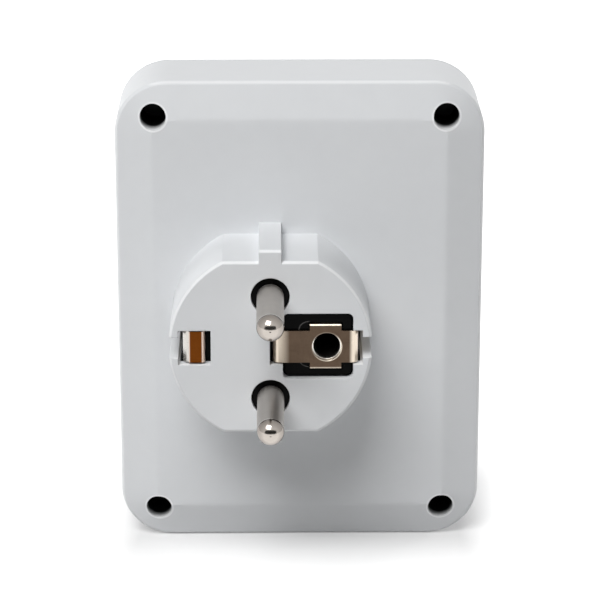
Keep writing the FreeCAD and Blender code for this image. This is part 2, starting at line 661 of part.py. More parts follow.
def flat_socket_floor(name, rise):
    floor = Piece(f"flat_socket_floor_{name}")
    middle = f"{rise} * flat_z"
    floor.add(LID_INSIDE, "flat_floor",
              cut_cornered("flat_x", middle, "flat_width - 2 * seat_gap", "flat_length - 2 * seat_gap",
                           "flat_corner"))
    floor.cut(LID_INSIDE, "flat_floor", *[circle("flat_x", f"{middle} + {side} * {PIN_Z}", "flat_hole_radius")
                                          for side in (1, -1)])

    def along(left, right, first, last):
        """A box from the middle outward in Z, on this socket's side."""
        ends = sorted((f"{rise} * ({first})", f"{rise} * ({last})"), key=amount)
        return box(f"flat_x + {left}", f"flat_x + {right}", *ends)

    lip_high = f"({FLAT_SHUTTER_LOW} - shutter_gap)"
    lip_low = f"({lip_high} - lip_height)"
    near, far = "flat_right + shutter_gap", "-flat_left - shutter_gap"
    stretch = ("rail_start", "rail_end")
    floor.add(lip_low, LID_INSIDE, along(near, f"{near} + rail", *stretch))
    floor.add(lip_low, lip_high, along(f"{near} - rail_lip", f"{near} + overlap", *stretch))
    floor.add(lip_low, LID_INSIDE, along(f"{far} - rail", far, *stretch))
    floor.add(lip_low, lip_high, along(f"{far} - overlap", f"{far} + rail_lip", *stretch))
    # Flanges that hold the floor under the lid
    flange = (f"({LID_INSIDE} - flange_height)", LID_INSIDE)
    floor.add(*flange, along(f"{near} + overlap", "flange_right", "flange_start", "rail_end"))
    floor.add(*flange, along("-flange_left", f"{far} - overlap", "left_flange_start", "left_flange_end"))
    # Peg for the spring
    peg = "spring_room - shutter_gap"
    floor.add(f"{FLAT_SHUTTER_LOW} + peg_sink", LID_INSIDE,
              along(f"spring_line - ({peg})", f"spring_line + {peg}", "flat_z - peg_inner - peg_length",
                    "flat_z - peg_inner"))


def flat_shutter(name, rise):
    shutter = Piece(f"flat_shutter_{name}")
    level = (FLAT_SHUTTER_LOW, FLAT_SHUTTER_HIGH)
    reach = f"({PIN_Z} + flat_hole_radius + flat_overlap)"

    def along(left, right, first, last):
        ends = sorted((f"{rise} * (flat_z + {first})", f"{rise} * (flat_z + {last})"), key=amount)
        return box(f"flat_x + {left}", f"flat_x + {right}", *ends)

    shutter.add(*level, along("-flat_left", "flat_right", f"-{reach}", reach))
    window = (f"-{reach} + flat_travel", f"-{reach} + flat_travel + 2 * (flat_hole_radius + flat_overlap)")
    shutter.cut(*level, along("-flat_window", "flat_window", *window))
    shutter.cut(*level, along("spring_line - spring_room", "spring_line + spring_room",
                              "-peg_inner - peg_length - shutter_gap", "channel_end"))
    # Slopes under the two holes, falling outward
    for start, end in ((f"-{reach} + ramp_start", window[0]), (f"{reach} - flat_travel + ramp_start", reach)):
        first, last = (f"{rise} * (flat_z + {value})" for value in (start, end))
        above = f"{FLAT_SHUTTER_HIGH} + overlap"
        slope = polygon((FLAT_SHUTTER_HIGH, first), (above, first), (above, last),
                        (f"{FLAT_SHUTTER_HIGH} - shutter_ramp", last))
        shutter.cut("flat_x - flat_window", "flat_x + flat_window", slope, plane="YZ_Plane")
    spring = Piece(f"flat_spring_{name}")
    middle = f"({FLAT_SHUTTER_LOW} + {FLAT_SHUTTER_HIGH}) / 2"
    ends = sorted((f"{rise} * (flat_z - peg_inner)", f"{rise} * (flat_z + channel_end)"), key=amount)
    spring.add(*ends, circle("flat_x + spring_line", middle, "spring_radius"), plane="XY_Plane")


def contact_carrier():
    carrier = Piece("contact_carrier")
    plate = ("carrier_low", "carrier_high")
    play = "carrier_play"
    bracket = f"bracket_half + {play}"
    carrier.add(*plate, box("-carrier_left", "carrier_right", "-carrier_half", "carrier_half"))
    for rise in (1, -1):
        carrier.cut(*plate, block("0", f"{rise} * {PIN_Z}", f"round_contact_half + {play}",
                                  f"round_contact_depth + {play}"))
        for side in (1, -1):
            carrier.cut(*plate, block("flat_x", f"{rise} * flat_z + {side} * {PIN_Z}", f"bar_offset + {play}",
                                      f"flat_contact_half + {play}"))
    carrier.cut("foot_level", "carrier_high", block("0", "0", f"bracket_reach + {play}", bracket))
    carrier.cut(*plate, box("-link_right - link_thick - seat_gap", "strip_foot + link_thick", f"-({bracket})",
                            bracket))
    carrier.cut(*plate, *squares(CARRIER_POSTS, "plastic_stake + seat_gap"))


def plug_insert():
    """The black block that carries the pins; it fills the openings of the plug face from behind."""
    insert = Piece("plug_insert")
    insert.add("face_plate", "insert_back",
               keyed("nose_radius - nose_wall - seat_gap", f"{NOSE_INSIDE} - seat_gap",
                     "key_width / 2 - seat_gap", f"{NOSE_INSIDE} + key_inside - seat_gap"))
    # Raised parts: in the window, under the left contact, round the pins and, at the back, round the sleeve
    joint = "face_plate + overlap"
    gap = "boss_gap"
    insert.add("boss_sink", joint,
               rounded("(window_left + window_right) / 2", "window_rise",
                       f"window_right - window_left - 2 * {gap}", f"window_height - 2 * {gap}",
                       "window_corner - seat_gap"))
    insert.add("boss_sink + sheet_metal - overlap", joint,
               box("-strip_right + strip_bend + seat_gap", "-link_right - link_thick - seat_gap",
                   "-slot_half + seat_gap", "slot_half - seat_gap"))
    pins = [f"{rise} * {PIN_Z}" for rise in (1, -1)]
    insert.add("collar_sink", joint, *[circle("0", rise, "collar_radius") for rise in pins])
    insert.add("insert_back - overlap", "sleeve_boss_end", *squares([("earth_x", "0")], "sleeve_boss"))
    # Holes for the pins and the sleeve
    insert.cut("collar_sink", "insert_back", *[circle("0", rise, "neck_radius + neck_play") for rise in pins])
    insert.cut("boss_sink", "sleeve_boss_end",
               *squares([("earth_x", "0")], "sleeve_radius + sleeve_wall + sleeve_play"))
    # Slots for the legs of the earth metal, for the bent edges of the strip's wings and for the stakes
    half = "strip_half + seat_gap"
    slots = [("strip_left - leg_play", "strip_left + sheet_metal + leg_play"),
             ("strip_right - sheet_metal - seat_gap", "nose_radius"),
             ("-nose_radius", "-strip_right + sheet_metal + seat_gap"),
             ("-link_right - link_thick - seat_gap", "-link_right + seat_gap")]
    for left, right in slots:
        insert.cut("boss_sink", "insert_back", box(left, right, f"-({half})", half))
    for rise in (1, -1):
        insert.cut("boss_sink", "boss_sink + wing_lip + leg_play",
                   block("wing_centre", f"{rise} * (wing_height / 2 - sheet_metal / 2)",
                         "wing_width / 2 + leg_play", "sheet_metal / 2 + leg_play"))
    insert.cut("face_plate", "insert_back", *squares(INSERT_STAKES, "plastic_stake + seat_gap"))


def pin_profile(sketch):
    """Half of a pin's outline beside its axis: dome, shank, and the neck in the insert and the contact."""
    shank = "-(pin_reach - pin_radius)"
    steps = [("pin_radius", "0"), ("neck_radius", "0"), ("neck_radius", "neck_end"), ("0", "neck_end")]
    dome_line = Part.Circle(vector("0", shank), FreeCAD.Vector(0, 0, 1), amount("pin_radius"))
    dome = sketch.addGeometry(Part.ArcOfCircle(dome_line, -math.pi / 2, 0))
    measure(sketch, "Radius", "pin_radius", dome)
    pin_down(sketch, dome, 3, "0", shank)
    points = [sketch.getPoint(dome, 2)] + [vector(*step) for step in steps] + [sketch.getPoint(dome, 1)]
    lines = [sketch.addGeometry(Part.LineSegment(*pair)) for pair in zip(points, points[1:])]
    for first, second, step in zip(lines, lines[1:], steps):
        sketch.addConstraint(Sketcher.Constraint("Coincident", first, 2, second, 1))
        pin_down(sketch, second, 1, *step)
    sketch.addConstraint(Sketcher.Constraint("Coincident", dome, 2, lines[0], 1))
    sketch.addConstraint(Sketcher.Constraint("Coincident", lines[-1], 2, dome, 1))
    measure(sketch, "DistanceY", shank, -1, 1, lines[0], 1)
    measure(sketch, "DistanceX", "0", -1, 1, dome, 1)


def plug_pin(name, rise):
    pin = Piece(f"plug_pin_{name}")
    pin.turn(pin_profile)
    pin.place("0", "0", f"{rise} * {PIN_Z}")


def earth_metal():
    strip_half = ("-strip_half", "strip_half")
    top = "strip_sink"
    under = "(strip_sink + sheet_metal)"
    left, right = "strip_left", "strip_right"
    foot = "foot_level"
    bridge = Piece("earth_bridge")
    bridge.add(*strip_half, polygon(
        (left, foot), (left, top), (right, top), (right, "contact_reach"),
        (f"{right} - sheet_metal", "contact_reach"), (f"{right} - sheet_metal", under),
        (f"{left} + sheet_metal", under), (f"{left} + sheet_metal", f"{foot} - sheet_metal"),
        ("strip_foot", f"{foot} - sheet_metal"), ("strip_foot", foot)), plane="XY_Plane")
    bridge.dress("Fillet", "strip_bend", (left, top, "0"), (right, top, "0"))
    bridge.dress("Fillet", "strip_bend - sheet_metal", (f"{left} + sheet_metal", under, "0"),
                 (f"{right} - sheet_metal", under, "0"), (left, foot, "0"))
    bridge.add(top, under, block("wing_centre", "0", "wing_width / 2", "wing_height / 2"))
    for rise in (1, -1):
        bridge.add(under, f"{under} + wing_lip",
                   block("wing_centre", f"{rise} * (wing_height / 2 - sheet_metal / 2)", "wing_width / 2",
                         "sheet_metal / 2"))
    bridge.dress("Fillet", "sheet_metal * 0.8", ("wing_centre", top, "wing_height / 2"),
                 ("wing_centre", top, "-wing_height / 2"))
    bridge.cut(top, under, circle("earth_x", "0", "earth_hole_radius"))
    bridge.cut(f"{foot} - sheet_metal", foot, *squares([("bridge_stake", "0")], "metal_stake + metal_play"))

    sleeve = Piece("earth_sleeve")
    sleeve.add("sleeve_start", "sleeve_end", circle("earth_x", "0", "sleeve_radius + sleeve_wall"),
               circle("earth_x", "0", "sleeve_radius"))
    sleeve.cut("sleeve_start", "sleeve_end", box("earth_x - sleeve_slit / 2", "earth_x + sleeve_slit / 2",
                                                 "0", "sleeve_radius + 2 * sleeve_wall"))

    clip = Piece("earth_clip_left")
    clip_top = "(strip_sink + link_thick)"
    side_in, under_top = f"-{right} + sheet_metal", f"{clip_top} + sheet_metal"
    clip.add(*strip_half, polygon(
        ("-clip_end", clip_top), (f"-{right}", clip_top), (f"-{right}", "contact_reach"),
        (side_in, "contact_reach"), (side_in, under_top), ("-clip_end", under_top)), plane="XY_Plane")
    clip.dress("Fillet", "strip_bend", (f"-{right}", clip_top, "0"))
    clip.dress("Fillet", "strip_bend - sheet_metal", (side_in, under_top, "0"))

    link = Piece("earth_link")
    inner, outer = "-link_right", "-link_right - link_thick"
    link.add("-link_half", "link_half", polygon(
        ("-link_left", top), (inner, top), (inner, f"{foot} - link_thick"),
        ("-link_foot", f"{foot} - link_thick"), ("-link_foot", foot), (outer, foot),
        (outer, clip_top), ("-link_left", clip_top)), plane="XY_Plane")
    link.dress("Fillet", "link_bend", (inner, top, "0"), (outer, foot, "0"))
    link.cut(f"{foot} - link_thick", foot, *squares([("-link_stake", "0")], "metal_stake + metal_play"))

    bracket = Piece("socket_earth_bracket")
    side = [("bracket_reach", foot), ("bracket_reach", "spring_knee"),
            ("bracket_reach - spring_lean", "spring_peak"), ("bracket_reach - spring_tip", "bracket_end"),
            ("bracket_reach - spring_tip - sheet_metal", "bracket_end"),
            ("bracket_reach - spring_lean - sheet_metal", "spring_peak"),
            ("bracket_reach - sheet_metal", "spring_knee"), ("bracket_reach - sheet_metal", FOOT_TOP)]
    mirrored = [(f"-({across})", along) for across, along in reversed(side)]
    bracket.add("-bracket_half", "bracket_half", polygon(*side, *mirrored), plane="XY_Plane")
    for across, sheet in (("bridge_stake", "sheet_metal"), ("-link_stake", "link_thick")):
        under_foot = f"({foot} - {sheet})"
        bracket.add(f"{under_foot} - metal_cap", FOOT_TOP, *squares([(across, "0")], "metal_stake"))
        bracket.add(f"{under_foot} - metal_cap", under_foot, *squares([(across, "0")], "metal_head"))


def busbar(name, rise, bar_left, far_side):
    """A vertical bar beside the flat contacts with a branch to the round contact."""
    bar = Piece(f"{name}_busbar")
    bar_right = f"({bar_left} + bar_width)"
    outline = [(bar_right, f"{rise} * (-bar_start)"), (bar_right, f"{rise} * bar_end"),
               (bar_left, f"{rise} * bar_end"), (bar_left, f"{rise} * branch_high"),
               ("-tab_half", f"{rise} * branch_high"), ("-tab_half", f"{rise} * branch_tab"),
               ("tab_half", f"{rise} * branch_tab"), ("tab_half", f"{rise} * branch_low"),
               (bar_left, f"{rise} * branch_low"),
               (bar_left, f"{rise} * (-bar_start)")]
    bar.add("busbar_low", BAR_TOP, polygon(*outline))
    across = f"(flat_x + {far_side} * (bar_offset + bar_width / 2))"
    stakes = [("0", f"{rise} * {ROUND_STAKE}"), (across, f"{rise} * (flat_z + {PIN_Z})"),
              (across, f"-{rise} * (flat_z - {PIN_Z})")]
    bar.add("busbar_low", f"{TAB_TOP} + metal_cap", *squares(stakes, "metal_stake"))
    bar.add(TAB_TOP, f"{TAB_TOP} + metal_cap", *squares(stakes, "metal_head"))


def round_contact(name, rise):
    contact = Piece(f"round_contact_{name}")
    half, sheet_in = "round_contact_half", "round_contact_half - sheet_metal"
    middle = f"{rise} * {PIN_Z}"
    open_end = f"{middle} - {rise} * round_contact_depth"
    back = f"{middle} + {rise} * round_contact_depth"
    back_in = f"{back} - {rise} * sheet_metal"
    base_top = "(insert_back + sheet_metal)"
    contact.add("insert_back", "round_contact_end", polygon(
        (f"-{half}", open_end), (f"-({sheet_in})", open_end), (f"-({sheet_in})", back_in),
        (sheet_in, back_in), (sheet_in, open_end), (half, open_end), (half, back), (f"-{half}", back)))
    contact.add("insert_back", base_top, block("0", middle, half, "round_contact_depth"))
    contact.cut("insert_back", base_top, circle("0", middle, "neck_radius + neck_play"))
    ends = sorted((back, f"{middle} + {rise} * round_foot"), key=amount)
    contact.add(BAR_TOP, TAB_TOP, box("-tab_half", "tab_half", *ends))
    contact.cut(BAR_TOP, TAB_TOP, *squares([("0", f"{rise} * {ROUND_STAKE}")], "metal_stake + metal_play"))


def flat_contact(name, middle, side):
    contact = Piece(f"flat_contact_{name}")
    half, sheet_in = "flat_contact_half", "flat_contact_half - sheet_metal"
    back = f"flat_x + {side} * bar_offset"
    back_in = f"{back} - {side} * sheet_metal"
    open_end = f"flat_x - {side} * flat_contact_open"
    contact.add(BAR_TOP, "flat_contact_end", polygon(
        (open_end, f"{middle} - {half}"), (back, f"{middle} - {half}"), (back, f"{middle} + {half}"),
        (open_end, f"{middle} + {half}"), (open_end, f"{middle} + {sheet_in}"),
        (back_in, f"{middle} + {sheet_in}"), (back_in, f"{middle} - ({sheet_in})"),
        (open_end, f"{middle} - ({sheet_in})")))
    ends = sorted((back, f"{back} + {side} * bar_width"), key=amount)
    contact.add(BAR_TOP, TAB_TOP, box(*ends, f"{middle} - tab_half", f"{middle} + tab_half"))
    contact.cut(BAR_TOP, TAB_TOP, *squares([(f"{back} + {side} * bar_width / 2", middle)],
                                           "metal_stake + metal_play"))


def stepped(name, across, up, *steps):
    """Round steps on one line along Y, each with its radius, low and high level."""
    rods = [rod(f"{name}_{count}", across, up, *step) for count, step in enumerate(steps)]
    return fuse(name, rods)


def casing_screws():
    group("casing_screws", [stepped(f"casing_screw_{count}", across, up,
                                    ("screw_head", "well_floor - screw_head_height", "well_floor"),
                                    ("screw_radius", "well_floor", "tower_end + screw_bite"))
                            for count, (across, up) in enumerate(casing_screw_places())])


rear_shell()
front_cover()
round_socket_floor()
round_shutter()
for socket, direction in (("upper", 1), ("lower", -1)):
    flat_socket_floor(socket, direction)
    flat_shutter(socket, direction)
contact_carrier()
plug_insert()
earth_metal()
for pole, direction in (("line", 1), ("neutral", -1)):
    plug_pin(pole, direction)
    round_contact(pole, direction)
busbar("line", 1, "(flat_x + bar_offset)", 1)
busbar("neutral", -1, "(flat_x - bar_offset - bar_width)", -1)
flat_contact("upper_outer", f"(flat_z + {PIN_Z})", 1)
flat_contact("upper_inner", f"(flat_z - {PIN_Z})", -1)
flat_contact("lower_inner", f"(-flat_z + {PIN_Z})", 1)
flat_contact("lower_outer", f"(-flat_z - {PIN_Z})", -1)
casing_screws()

doc.recompute()
failed = [item.Name for item in doc.Objects if {"Invalid", "Error"} & set(item.State)]
for label, item in parts.items():
    if item.Shape.isNull() or not item.Shape.isValid():
        failed.append(label)
if failed:
    raise RuntimeError(f"not built: {failed}")
os.makedirs("parts", exist_ok=True)
for label, item in parts.items():
    item.Shape.exportStep(f"parts/{label}.step")
    print(label, len(item.Shape.Solids), "solids", round(item.Shape.Volume, 1), "mm3")
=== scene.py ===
import math

import bpy
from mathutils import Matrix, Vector


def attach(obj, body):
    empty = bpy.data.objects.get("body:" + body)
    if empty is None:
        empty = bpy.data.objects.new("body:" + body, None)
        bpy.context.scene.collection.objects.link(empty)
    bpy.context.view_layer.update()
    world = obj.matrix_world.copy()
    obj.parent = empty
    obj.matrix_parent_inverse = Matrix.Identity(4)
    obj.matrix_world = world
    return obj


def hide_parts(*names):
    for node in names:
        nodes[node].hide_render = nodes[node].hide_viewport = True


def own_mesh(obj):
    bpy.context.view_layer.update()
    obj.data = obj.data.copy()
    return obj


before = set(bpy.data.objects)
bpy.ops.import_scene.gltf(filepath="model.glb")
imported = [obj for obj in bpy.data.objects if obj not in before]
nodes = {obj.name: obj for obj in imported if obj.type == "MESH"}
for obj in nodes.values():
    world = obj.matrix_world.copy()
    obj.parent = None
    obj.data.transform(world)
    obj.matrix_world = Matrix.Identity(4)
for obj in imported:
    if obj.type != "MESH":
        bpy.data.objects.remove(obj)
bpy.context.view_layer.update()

MM = 0.001
# Places on the part, in millimetres
CASING_MIDDLE = 5.4
HALF_WIDTH, HALF_HEIGHT = 33.35, 43.85
WELL_ACROSS, WELL_UP = 26.35, 37.65
REAR_FACE, BORDER_END, BORDER_WIDTH = 17.0, 19.3, 6.8
DOME_JOINT = -16.6
PIN_UP = 9.5
EARTH_HOLE = 10.0


class Value:
    """A socket of a shader graph that can be used in sums like a number."""

    def __init__(self, finish, socket):
        self.finish = finish
        self.socket = socket

    def _join(self, operation, first, second):
        return self.finish.node("Math", {"operation": operation}, {0: first, 1: second})

    def __add__(self, other):
        return self._join("ADD", self, other)

    def __sub__(self, other):
        return self._join("SUBTRACT", self, other)

    def __rsub__(self, other):
        return self._join("SUBTRACT", other, self)

    def __mul__(self, other):
        return self._join("MULTIPLY", self, other)

    def __truediv__(self, other):
        return self._join("DIVIDE", self, other)

    __radd__ = __add__
    __rmul__ = __mul__

    def at_most(self, other):
        return self._join("MINIMUM", self, other)

    def at_least(self, other):
        return self._join("MAXIMUM", self, other)

    def size(self):
        return self._join("ABSOLUTE", self, 0.0)

    def power(self, other):
        return self._join("POWER", self, other)

    def reach(self, other):
        """The distance from 0 of a point with this and the other as its coordinates."""
        return (self.size().power(2.0) + other.size().power(2.0)).power(0.5)

    def over(self, other):
        """1 where this is over the other, 0 elsewhere."""
        return self._join("GREATER_THAN", self, other)

    def rise(self, start, end):
        """0 up to start, 1 from end on and a straight rise between them."""
        return ((self - start) / (end - start)).at_least(0.0).at_most(1.0)


class Finish:
    """A material: constants on the shader itself, and a graph for what changes over the surface."""

    def __init__(self, name, **constants):
        self.material = bpy.data.materials.new(name)
        self.material.use_nodes = True
        self.tree = self.material.node_tree
        self.shader = self.tree.nodes["Principled BSDF"]
        for socket, value in constants.items():
            self.shader.inputs[socket.replace("_", " ")].default_value = value

    def node(self, kind, settings=None, inputs=None, output=0):
        node = self.tree.nodes.new("ShaderNode" + kind)
        for name, value in (settings or {}).items():
            setattr(node, name, value)
        for name, value in (inputs or {}).items():
            if isinstance(value, Value):
                self.tree.links.new(value.socket, node.inputs[name])
            else:
                node.inputs[name].default_value = value
        return Value(self, node.outputs[output])

    def place(self, stretch=(1, 1, 1)):
        """The spot on the piece in millimetres, stretched along its axes."""
        spot = self.node("TexCoord", output="Object")
        return self.node("Mapping", inputs={"Vector": spot, "Scale": [value / MM for value in stretch]})

    def axis(self, name):
        """One coordinate of the spot, in millimetres."""
        return self.node("SeparateXYZ", inputs={"Vector": self.place()}, output="XYZ".index(name))

    def noise(self, scale, detail=4.0, rough=0.5, stretch=(1, 1, 1)):
        """Cloudy variation about 0, from -0.5 to 0.5; scale is in patches per millimetre."""
        return self.node("TexNoise", inputs={"Vector": self.place(stretch), "Scale": scale, "Detail": detail,
                                             "Roughness": rough}) - 0.5

    def mix(self, factor, first, second):
        """A colour between two colours."""
        node = self.tree.nodes.new("ShaderNodeMix")
        node.data_type = "RGBA"
        node.clamp_factor = True
        for place, value in ((0, factor), (6, first), (7, second)):
            if isinstance(value, Value):
                self.tree.links.new(value.socket, node.inputs[place])
            else:
                node.inputs[place].default_value = value if place == 0 else (*value, 1.0)
        return Value(self, node.outputs[2])

    def soft(self, radius):
        """The surface's normal, turned over the edges within a radius in millimetres."""
        return self.node("Bevel", {"samples": 6}, {"Radius": radius * MM})

    def blend(self, factor, first, second):
        """A direction between two directions."""
        node = self.tree.nodes.new("ShaderNodeMix")
        node.data_type = "VECTOR"
        for place, value in ((0, factor), (4, first), (5, second)):
            self.tree.links.new(value.socket, node.inputs[place])
        return Value(self, node.outputs[1])

    def relief(self, height, depth, normal):
        """Surface relief from a height of 0 to 1, depth in millimetres, on a softened normal."""
        self.feed("Normal", self.node("Bump", inputs={"Height": height, "Distance": depth * MM,
                                                      "Strength": 1.0, "Normal": normal}))

    def fed(self, socket):
        """What a socket of the shader is fed with so far."""
        return Value(self, self.shader.inputs[socket].links[0].from_socket)

    def feed(self, socket, value):
        self.tree.links.new(value.socket, self.shader.inputs[socket])

    def paint(self, *names):
        for name in names:
            piece = nodes[name]
            piece.data.materials.clear()
            piece.data.materials.append(self.material)


def moulded_plastic(name, light, shade, roughness, grain, edge):
    """Injection moulded plastic: a fine eroded grain, faint flow clouds and softened edges."""
    plastic = Finish(name, IOR=1.49)
    plastic.grain = grain
    clouds = plastic.noise(0.05, 3.0, 0.6) + plastic.noise(0.4, 2.0, 0.5) * 0.35
    plastic.feed("Base Color", plastic.mix(clouds * 1.4 + 0.5, shade, light))
    fine = plastic.noise(3.2, 3.0, 0.65)
    plastic.feed("Roughness", clouds * 0.10 + fine * 0.10 + roughness)
    plastic.height = fine + plastic.noise(9.0, 2.0, 0.5) * 0.5
    plastic.relief(plastic.height, grain, plastic.soft(edge))
    return plastic


LIGHT_GREY, SHADE_GREY = (0.80, 0.815, 0.83), (0.765, 0.78, 0.797)
casing_plastic = moulded_plastic("light_casing_plastic", LIGHT_GREY, SHADE_GREY, 0.42, 0.006, 0.25)
casing_plastic.paint("front_cover", "round_socket_floor", "flat_socket_floor_upper", "flat_socket_floor_lower")


def rear_plastic():
    """The casing's plastic: painted shade in the deep screw wells, painted highlights on their mouths, the border's
    edge and the edges just behind the plug's face, and a soft start of the border.
    """
    plastic = moulded_plastic("rear_casing_plastic", LIGHT_GREY, SHADE_GREY, 0.42, 0.006, 0.25)
    beside = (plastic.axis("X") - CASING_MIDDLE).size()
    above = plastic.axis("Z").size()
    level = plastic.axis("Y")
    well = (beside - WELL_ACROSS).reach(above - WELL_UP)
    depth = level.rise(REAR_FACE + 0.8, REAR_FACE + 3.8)
    base = plastic.fed("Base Color")
    inset = (HALF_WIDTH - beside).at_most(HALF_HEIGHT - above)
    # Painted highlights: near white lines on the wells' mouths, the border's outer edge and the edges just behind the
    # plug's face.
    well_rim_highlight = (1 - ((well - 2.5).size() - 0.1).rise(0.0, 0.16)) * (1 - depth)
    border_edge_highlight = (1 - ((level - BORDER_END - 0.2).size() / 0.45).at_most(1.0)) * (1 - inset.rise(0.5, 0.9)) * 0.8
    nose_rim_highlight = level.rise(0.02, 0.1) * (1 - level.rise(0.4, 0.5)) * 0.7
    with_highlights = plastic.mix(well_rim_highlight.at_least(border_edge_highlight).at_least(nose_rim_highlight), base, (0.97, 0.98, 0.99))
    # Painted shade: the deep part of each screw well is painted near black.
    plastic.feed("Base Color", plastic.mix((1 - well.over(2.37)) * depth, with_highlights, (0.004, 0.004, 0.004)))
    at_fold = (1 - ((inset - BORDER_WIDTH).size() - 2.2).rise(0.0, 0.6)) * well.rise(3.6, 4.6)
    fold = at_fold * (1 - level.rise(BORDER_END + 0.1, BORDER_END + 0.5)) * level.rise(REAR_FACE - 0.6, REAR_FACE - 0.2)
    plastic.relief(plastic.height, plastic.grain, plastic.blend(fold, plastic.soft(0.25), plastic.soft(1.7)))
    return plastic


rear_plastic().paint("rear_shell")
moulded_plastic("grey_shutter_plastic", (0.19, 0.195, 0.20), (0.165, 0.17, 0.175), 0.48, 0.008, 0.15).paint(
    "round_shutter", "flat_shutter_upper", "flat_shutter_lower")


def black_plastic(name):
    """The dark, dull plastic of the insulating pieces."""
    plastic = moulded_plastic(name, (0.003, 0.003, 0.003), (0.0015, 0.0015, 0.0015), 0.3, 0.006, 0.12)
    plastic.shader.inputs["Specular IOR Level"].default_value = 0.04
    return plastic


black_plastic("black_insulator").paint("contact_carrier")


def insert_plastic():
    """The insert's black plastic, with a fine light-grey ring round the earth hole where it shows in the window."""
    plastic = black_plastic("black_insert")
    base = plastic.fed("Base Color")
    across = plastic.axis("X") - EARTH_HOLE
    above = (plastic.axis("Z") - 0.3).size() * 1.16
    rounded_square = (across.size().power(5.0) + above.power(5.0)).power(0.2)
    ring = (1 - ((rounded_square - 5.05).size() / 0.14).at_most(1.0)) * (1 - across.rise(-3.3, -2.9))
    shown = ring * (1 - plastic.axis("Y").rise(2.0, 2.2))
    plastic.feed("Base Color", plastic.mix(shown, base, (0.13, 0.127, 0.125)))
    return plastic


insert_plastic().paint("plug_insert")


def plated_metal(name, bright, dull, roughness, along, edge=0.1):
    """Plated or rolled sheet: fine drawing lines along one axis, faint stains and worn spots."""
    metal = Finish(name, Metallic=1.0)
    stains = metal.noise(0.35, 4.0, 0.6) + metal.noise(1.6, 3.0, 0.6) * 0.4
    lines = metal.noise(6.0, 3.0, 0.7, along)
    metal.feed("Base Color", metal.mix(stains * 1.0 + lines * 0.4 + 0.5, dull, bright))
    metal.feed("Roughness", (stains * 0.16 + lines * 0.14 + roughness).at_least(0.06))
    metal.relief(lines, 0.004, metal.soft(edge))
    return metal


ALONG_Y, ALONG_Z = (1, 0.06, 1), (1, 1, 0.06)


def pin_nickel():
    """Nickel on the plug pins: a satin shank, a painted highlight line where the dome begins, and a polished dome with
    painted dark reflection towards its edge.
    """
    pin = Finish("plug_pin_nickel", Metallic=1.0)
    lines = pin.noise(5.0, 3.0, 0.6, (1, 0.05, 1))
    stains = pin.noise(0.5, 4.0, 0.6)
    past_joint = DOME_JOINT - pin.axis("Y")
    dome = past_joint.rise(0.0, 0.1)
    # Painted highlight: a near white line where the dome meets the shank.
    joint_highlight = 1 - (past_joint.size() / 0.13).at_most(1.0)
    shank_color = pin.mix(stains * 0.9 + lines * 0.5 + 0.5, (0.42, 0.395, 0.37), (0.52, 0.49, 0.46))
    dome_color = pin.mix(stains + 0.5, (0.42, 0.38, 0.345), (0.50, 0.46, 0.42))
    from_axis = pin.axis("X").reach(pin.axis("Z").size() - PIN_UP)
    # Painted reflection: the dome is painted darker away from the pin's axis.
    dome_color = pin.mix(from_axis.rise(1.2, 2.4) * 0.75, dome_color, (0.16, 0.14, 0.125))
    pin.feed("Base Color", pin.mix(joint_highlight, pin.mix(dome, shank_color, dome_color), (0.95, 0.93, 0.9)))
    pin.feed("Roughness", 0.40 + lines * 0.10 + stains * 0.06 - dome * 0.24)
    pin.relief(lines * (1 - dome), 0.0015, pin.soft(0.05))
    return pin


pin_nickel().paint("plug_pin_line", "plug_pin_neutral")


def strip_nickel():
    """The earth strip: dull and brownish on its flat face, with painted reflections where it is bent and painted
    highlights along its wings and round its hole.
    """
    strip = Finish("earth_strip_nickel", Metallic=1.0)
    stains = strip.noise(0.5, 4.0, 0.6) + strip.noise(2.2, 3.0, 0.6) * 0.4
    lines = strip.noise(7.0, 3.0, 0.7, (1, 1, 0.05))
    # Painted light: the bends are painted pale as painted reflections; the wings' edges and a crescent round the hole,
    # lighter to the lower right, are painted highlights.
    left_bend_reflection = 1 - strip.axis("X").rise(0.9, 3.4)
    right_bend_reflection = strip.axis("X").rise(14.0, 14.6)
    wing_edge_highlight = strip.axis("Z").size().rise(3.75, 4.05)
    right = strip.axis("X") - EARTH_HOLE
    rim = (1 - right.reach(strip.axis("Z")).rise(2.64, 2.78)) * ((right - strip.axis("Z")) / 3.0 + 0.6).at_least(0.25)
    flat = strip.mix(stains * 1.3 + lines * 0.5 + 0.5, (0.062, 0.042, 0.029), (0.105, 0.073, 0.051))
    bright = left_bend_reflection.at_least(right_bend_reflection).at_least(wing_edge_highlight).at_least(rim)
    strip.feed("Base Color", strip.mix(bright, flat, (0.66, 0.58, 0.48)))
    strip.feed("Roughness", (stains * 0.14 + lines * 0.10 + 0.30).at_least(0.1))
    strip.relief(lines, 0.003, strip.soft(0.12))
    return strip


strip_nickel().paint("earth_bridge")
plated_metal("earth_contact_nickel", (0.62, 0.60, 0.57), (0.45, 0.43, 0.40), 0.28, ALONG_Y).paint(
    "earth_clip_left", "socket_earth_bracket")


def sleeve_nickel():
    """The split sleeve behind the strip's hole: its front edge is painted bright as a painted highlight, its inside is
    dull.
    """
    sleeve = plated_metal("earth_sleeve_nickel", (0.40, 0.38, 0.35), (0.28, 0.26, 0.24), 0.3, ALONG_Y)
    base = sleeve.fed("Base Color")
    # Painted highlight: the sleeve's front edge is painted near white.
    sleeve.feed("Base Color", sleeve.mix(1 - sleeve.axis("Y").rise(1.5, 2.3), base, (0.97, 0.94, 0.88)))
    return sleeve


sleeve_nickel().paint("earth_sleeve")


